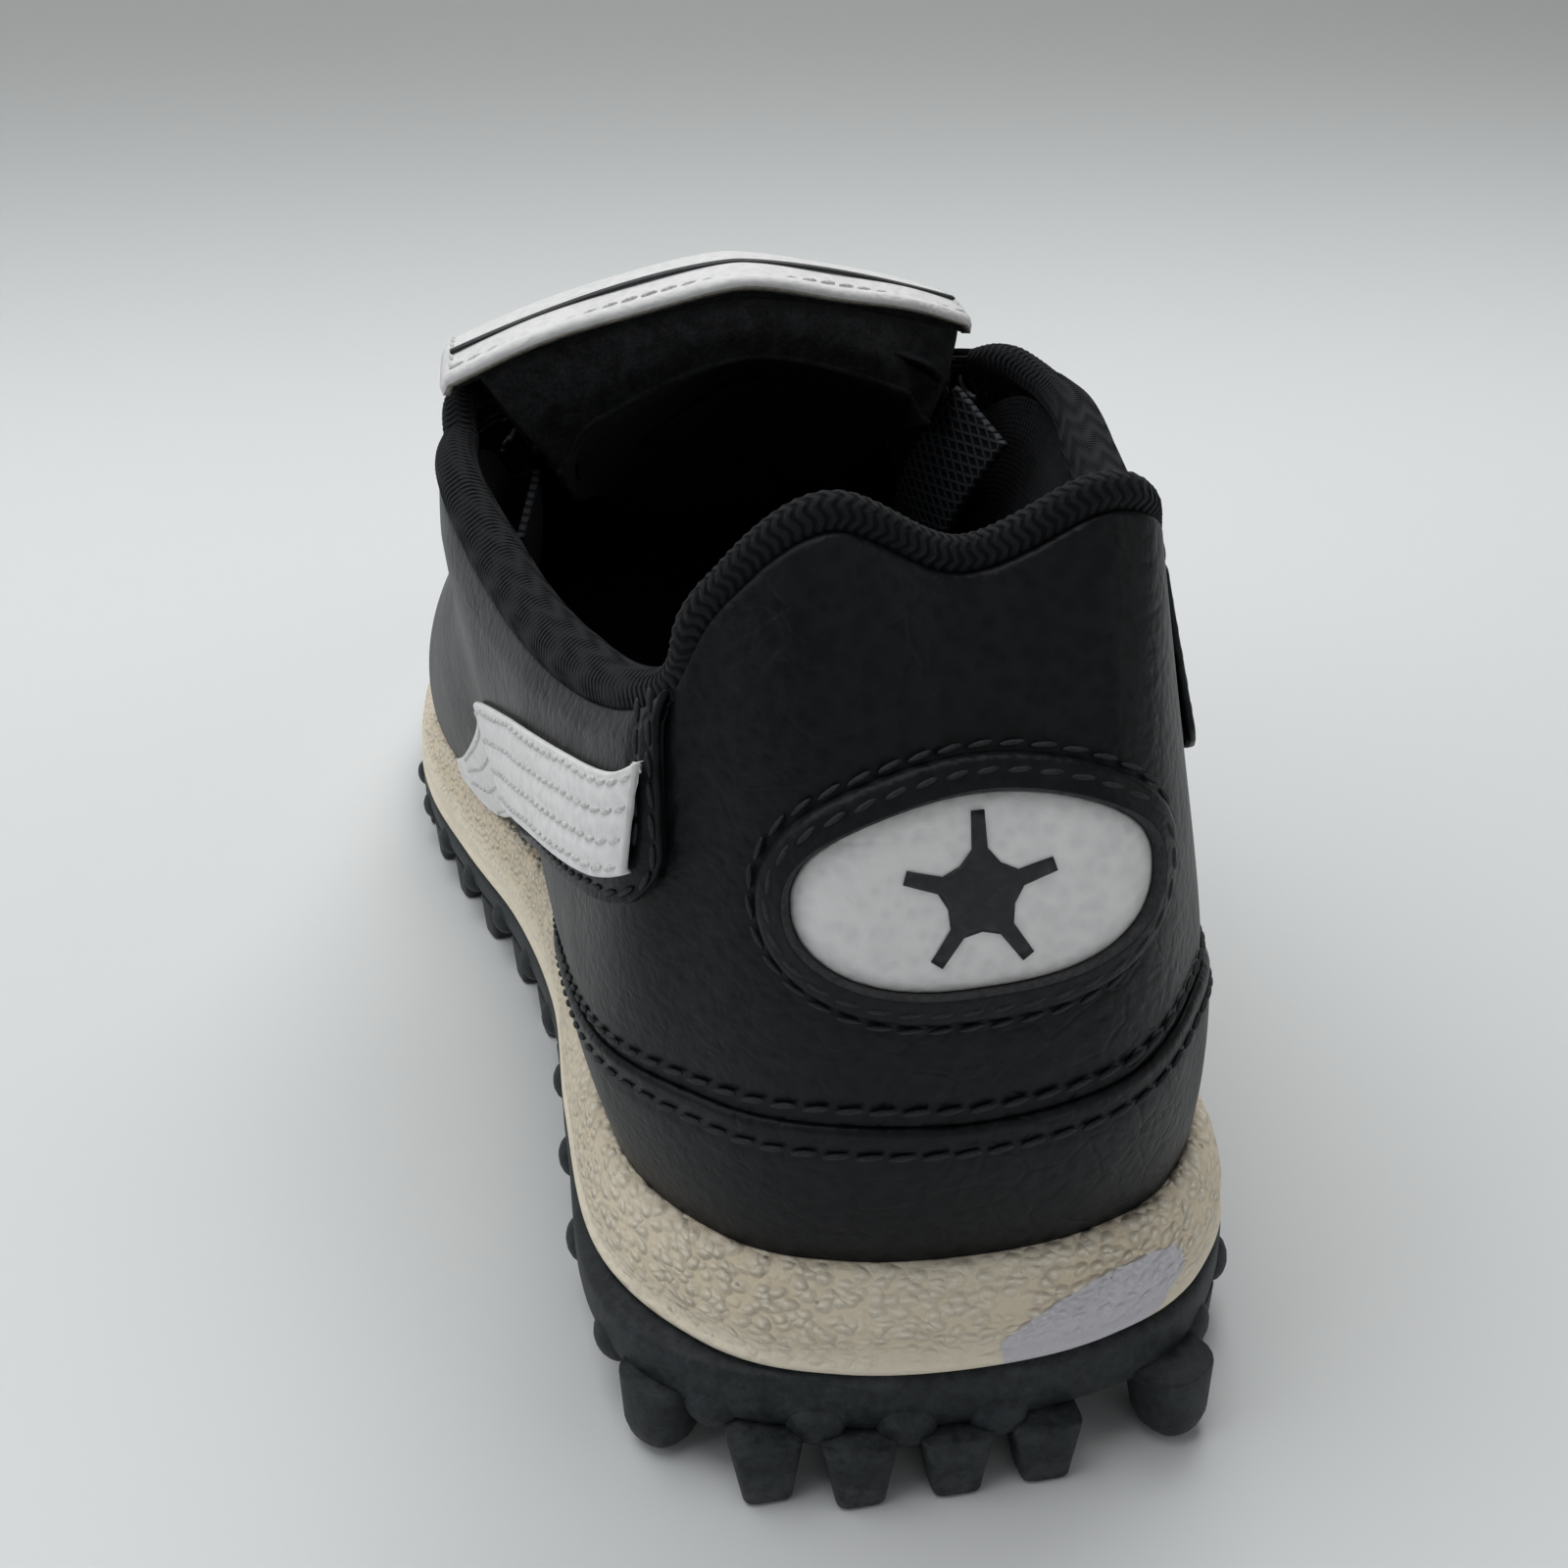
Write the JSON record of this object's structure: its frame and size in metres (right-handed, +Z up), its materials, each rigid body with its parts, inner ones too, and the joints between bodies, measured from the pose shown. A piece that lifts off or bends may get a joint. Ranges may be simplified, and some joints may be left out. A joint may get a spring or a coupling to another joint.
{
  "type": "soccer cleat",
  "caption": "Low soccer turf trainer for the left foot: studded rubber outsole, foam midsole, padded collar, plain side band, oval heel patch and fold-over tongue flap.",
  "frame": {"origin": "centre of the footprint on the ground, under the studs", "axes": "+Y towards the toe, +Z up, +X towards the inner (medial) side of this left shoe"},
  "size_m": [0.106, 0.2894, 0.1036],
  "materials": {
    "black_leather": "satin",
    "white_leather": "satin",
    "black_knit": "matte",
    "lining_fabric": "matte",
    "black_felt": "matte",
    "woven_elastic": "matte",
    "cream_foam": "matte",
    "black_rubber": "matte",
    "grey_foam": "matte",
    "stiff_board": "matte",
    "black_print": "matte"
  },
  "bodies": {
    "shoe": {"outsole": "black_rubber", "midsole": "cream_foam", "strobel_board": "stiff_board", "heel_counter": "stiff_board", "toe_puff": "stiff_board", "vamp": "black_leather", "vamp_lining": "lining_fabric", "heel_panel": "black_leather", "heel_foxing": "black_leather", "quarter_lateral": "black_leather", "quarter_medial": "black_leather", "side_band_lateral": "white_leather", "side_band_medial": "white_leather", "eyestay_lateral": "black_leather", "eyestay_medial": "black_leather", "quarter_lining": "lining_fabric", "collar_padding": "grey_foam", "collar_binding": "black_knit", "patch_frame": "black_leather", "heel_patch": "white_leather", "emblem": "black_print", "elastic_lateral": "woven_elastic", "elastic_medial": "woven_elastic"},
    "tongue": {"tongue_outer": "black_leather", "tongue_padding": "grey_foam", "tongue_lining": "black_felt", "tongue_label": "lining_fabric"},
    "flap": {"flap_outer": "white_leather", "flap_trim": "black_print", "flap_lining": "black_felt"},
    "sockliner": {"sockliner_foam": "grey_foam", "sockliner_cloth": "lining_fabric"}
  },
  "joints": [
    {"name": "tongue_swing", "type": "hinge", "parent": "shoe", "child": "tongue", "pos_m": [0.002, 0.064, 0.05], "axis": [1, 0, 0], "range_deg": [-4, 0]},
    {"name": "flap_fold", "type": "hinge", "parent": "tongue", "child": "flap", "pos_m": [0, -0.037, 0.0994], "axis": [1, 0, 0], "range_deg": [0, 120]},
    {"name": "sockliner_lift", "type": "hinge", "parent": "shoe", "child": "sockliner", "pos_m": [0.004, 0.131, 0.027], "axis": [-1, 0, 0], "range_deg": [0, 6]}
  ]
}
